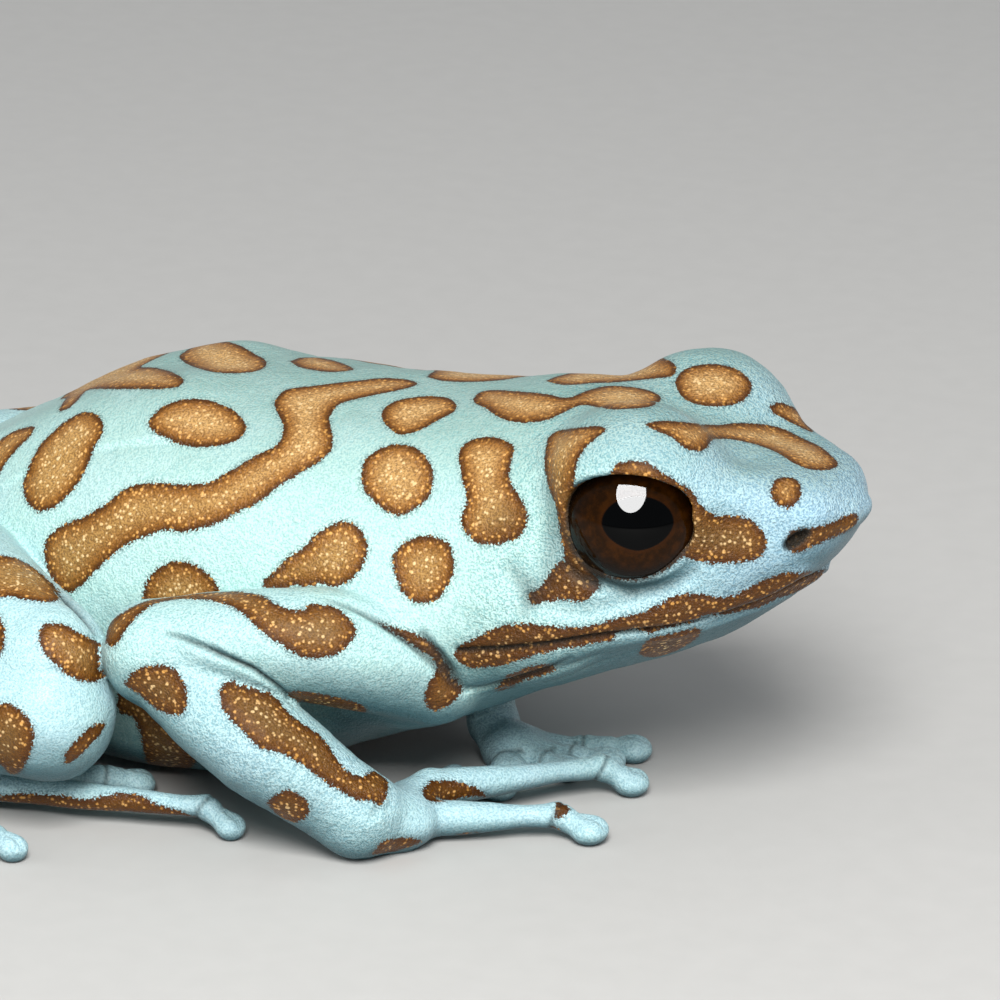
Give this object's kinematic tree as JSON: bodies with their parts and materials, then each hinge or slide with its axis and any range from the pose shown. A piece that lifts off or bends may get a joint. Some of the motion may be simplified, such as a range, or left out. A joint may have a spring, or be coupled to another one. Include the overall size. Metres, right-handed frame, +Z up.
{
  "type": "green and black poison dart frog",
  "caption": "Life-size still model of a sitting poison dart frog, turquoise with brown spots, resting on its hands, feet and belly.",
  "frame": {"origin": "on the floor, under the middle of the frog's box", "axes": "+X the way the snout points, +Y the frog's left, +Z up"},
  "size_m": [0.0391, 0.0279, 0.0148],
  "materials": {
    "skin": "moist, finely grained skin, turquoise with bronze-brown spots",
    "eye": "wet, glassy, dark brown iris and black pupil"
  },
  "bodies": {
    "root": {"head": "skin", "trunk": "skin", "upper_arm_right": "skin", "forearm_right": "skin", "hand_right": "skin", "thigh_right": "skin", "shank_right": "skin", "foot_right": "skin", "eye_right": "eye", "upper_arm_left": "skin", "forearm_left": "skin", "hand_left": "skin", "thigh_left": "skin", "shank_left": "skin", "foot_left": "skin", "eye_left": "eye"}
  },
  "joints": []
}
